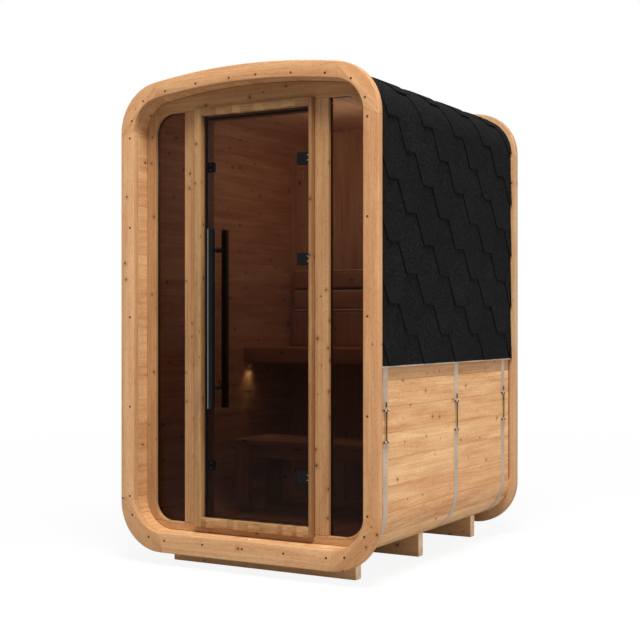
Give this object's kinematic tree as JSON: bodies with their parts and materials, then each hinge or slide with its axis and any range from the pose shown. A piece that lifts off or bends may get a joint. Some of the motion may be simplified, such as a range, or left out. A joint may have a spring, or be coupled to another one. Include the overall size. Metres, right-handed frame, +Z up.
{
  "type": "cube sauna cabin",
  "caption": "Small outdoor sauna cabin: rounded-square tube of pine boards between end rings, glazed front with a glass door, benches, shingle cover, steel bands and beams",
  "frame": {"origin": "on the ground at the middle of the outline", "axes": "+X to the right seen from the front, +Y from the front to the back, +Z up"},
  "size_m": [1.321, 1.564, 2.205],
  "materials": {
    "pine": "sanded, oiled",
    "frame_pine": "sanded, finger-jointed",
    "tinted_glass": "clear, bronze tint",
    "bitumen": "granular, matt",
    "galvanised": "zinc-coated",
    "black_metal": "satin black",
    "lamp": "opal lens"
  },
  "bodies": {
    "cabin": {"front_support_beam": "pine", "middle_support_beam": "pine", "rear_support_beam": "pine", "floor_deck": "pine", "left_wall": "pine", "right_wall": "pine", "roof_deck": "pine", "lower_left_corner": "pine", "lower_right_corner": "pine", "upper_left_corner": "pine", "upper_right_corner": "pine", "front_ring": "pine", "rear_ring": "pine", "front_wall_head": "pine", "front_wall_foot": "pine", "front_wall_left": "pine", "front_wall_right": "pine", "left_post": "pine", "right_post": "pine", "back_wall": "pine", "upper_bench_seat": "pine", "upper_bench_frame": "pine", "lower_bench_seat": "pine", "lower_bench_frame": "pine", "backrest_rails": "pine", "back_panel": "pine", "left_jamb": "frame_pine", "right_jamb": "frame_pine", "door_header": "frame_pine", "door_threshold": "frame_pine", "left_window": "tinted_glass", "right_window": "tinted_glass", "shingle_cover": "bitumen", "drip_edges": "galvanised", "front_band": "galvanised", "middle_band": "galvanised", "rear_band": "galvanised", "band_tensioners": "galvanised", "hinge_brackets": "black_metal", "door_catches": "black_metal", "bench_lamp": "lamp"},
    "door": {"door_glass": "tinted_glass", "hinge_leaves": "black_metal", "outer_handle": "black_metal", "inner_handle": "black_metal"}
  },
  "joints": [
    {"name": "door_hinge", "type": "hinge", "parent": "cabin", "child": "door", "pos_m": [0.2805, -0.697, 1.1], "axis": [0, 0, 1], "range_deg": [0, 110]}
  ]
}
